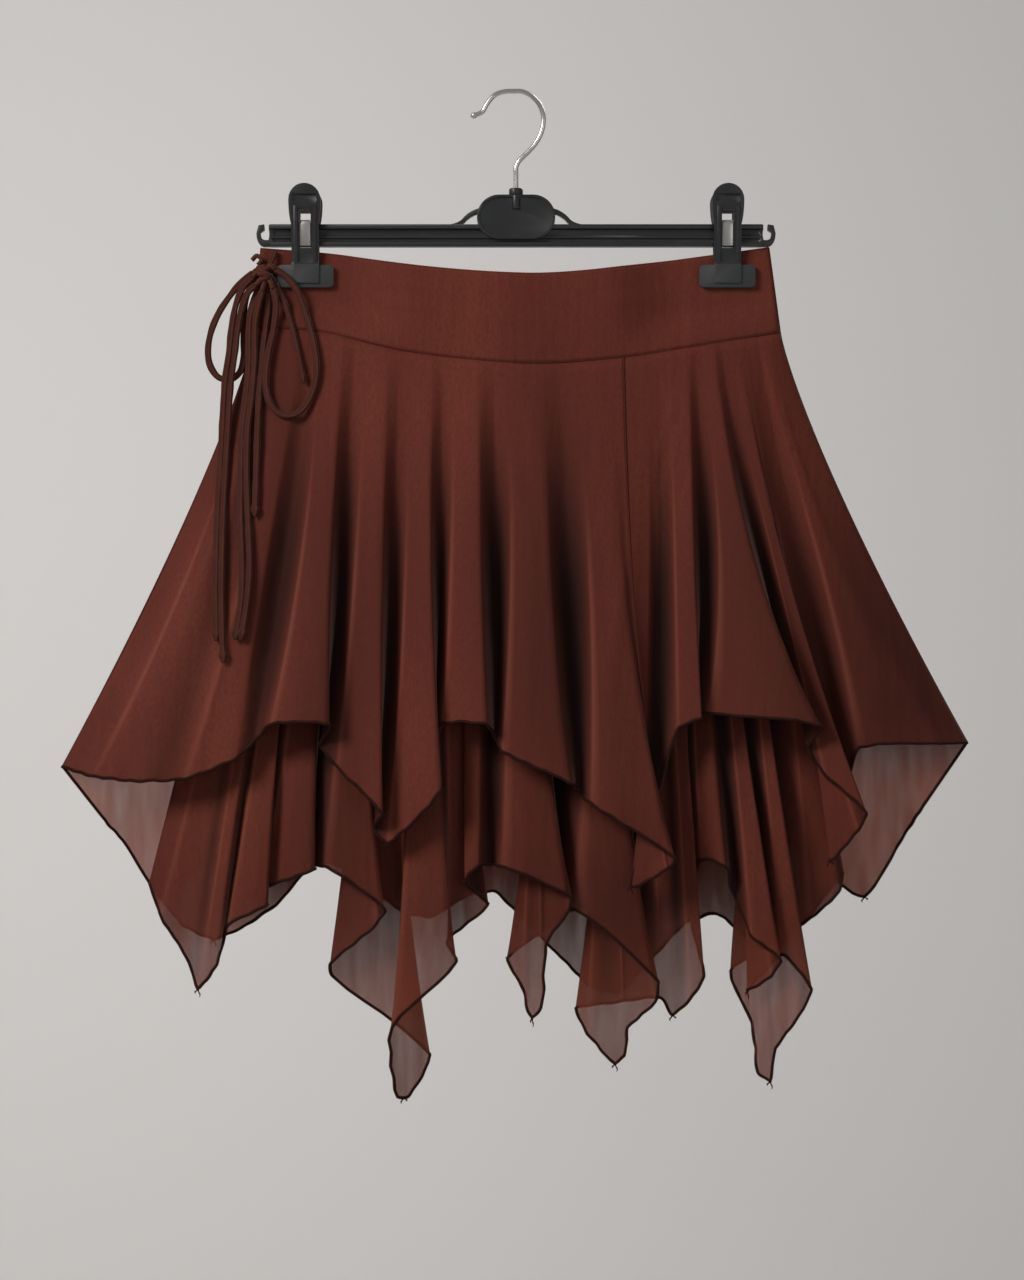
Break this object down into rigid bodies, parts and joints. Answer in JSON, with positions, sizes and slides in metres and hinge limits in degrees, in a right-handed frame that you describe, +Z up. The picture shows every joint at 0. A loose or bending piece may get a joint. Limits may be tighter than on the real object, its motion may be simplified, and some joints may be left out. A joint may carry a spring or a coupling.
{
  "type": "skirt on clip hanger",
  "caption": "Short sheer mesh skirt in layers with a pointed handkerchief hem, a smooth yoke and a side tie bow, hung from a black clip hanger.",
  "frame": {"origin": "inside of the top of the hanger's hook, where it rests on its rail or peg", "axes": "+Z up; the front of the skirt faces -Y; +X to the right as seen from the front"},
  "size_m": [0.633, 0.0808, 0.7045],
  "materials": {
    "cloth": "soft sheer knitted mesh",
    "hem_thread": "rolled overlock thread",
    "tie_cord": "soft self-fabric cord",
    "hanger_plastic": "satin black",
    "clip_plastic": "satin black with grey pads",
    "hook_steel": "polished",
    "spring_steel": "satin nickel"
  },
  "bodies": {
    "root": {"yoke_front": "cloth", "yoke_back": "cloth", "upper_front_left": "cloth", "upper_front_right": "cloth", "upper_back": "cloth", "lower_front": "cloth", "lower_back": "cloth", "tie_knot": "tie_cord", "tie_top": "tie_cord", "tie_loop_left": "tie_cord", "tie_loop_right": "tie_cord", "tie_end_short": "tie_cord", "tie_tail_1": "tie_cord", "tie_tail_2": "tie_cord", "tie_tail_3": "tie_cord", "tie_tail_4": "tie_cord", "tie_tail_5": "tie_cord", "hanger_bar": "hanger_plastic", "hook_collar": "hanger_plastic", "clip_left_front": "clip_plastic", "clip_left_back": "clip_plastic", "clip_right_front": "clip_plastic", "clip_right_back": "clip_plastic", "hook_wire": "hook_steel", "clip_left_spring": "spring_steel", "clip_right_spring": "spring_steel"}
  },
  "joints": []
}
